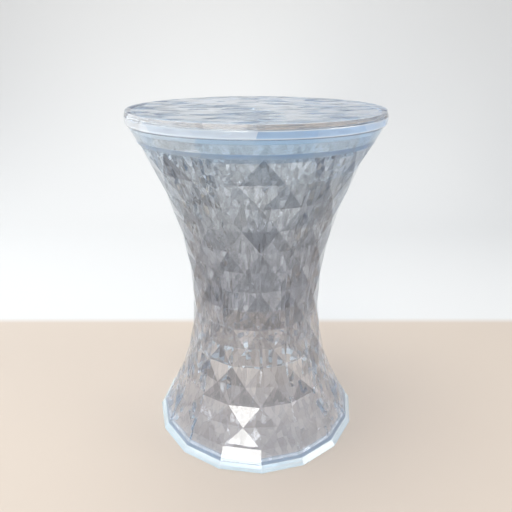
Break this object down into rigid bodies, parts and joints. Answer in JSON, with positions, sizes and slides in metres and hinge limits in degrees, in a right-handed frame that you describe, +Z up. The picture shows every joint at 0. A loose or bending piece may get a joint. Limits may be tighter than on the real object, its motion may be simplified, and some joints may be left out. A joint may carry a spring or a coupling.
{
  "type": "hourglass stool",
  "caption": "Clear moulded hourglass stool or side table: a hollow body of interlocking flat triangles with a round bevelled seat and a flat-sided base ring.",
  "frame": {"origin": "centre of the foot on the floor", "axes": "+Z up along the stool's axis, -Y the side that faces the viewer"},
  "size_m": [0.321, 0.321, 0.45],
  "materials": {
    "clear_seat": "polished, clear with a pale blue tint",
    "clear_collar": "polished, clear with a pale blue tint",
    "clear_shell": "polished flat facets, clear with a grey tint",
    "clear_ring": "polished, clear with a light blue edge",
    "clear_pad": "soft, clear and satin"
  },
  "bodies": {
    "root": {"seat_disc": "clear_seat", "neck_collar": "clear_collar", "faceted_shell": "clear_shell", "base_ring": "clear_ring", "floor_pad_1": "clear_pad", "floor_pad_2": "clear_pad", "floor_pad_3": "clear_pad", "floor_pad_4": "clear_pad"}
  },
  "joints": []
}
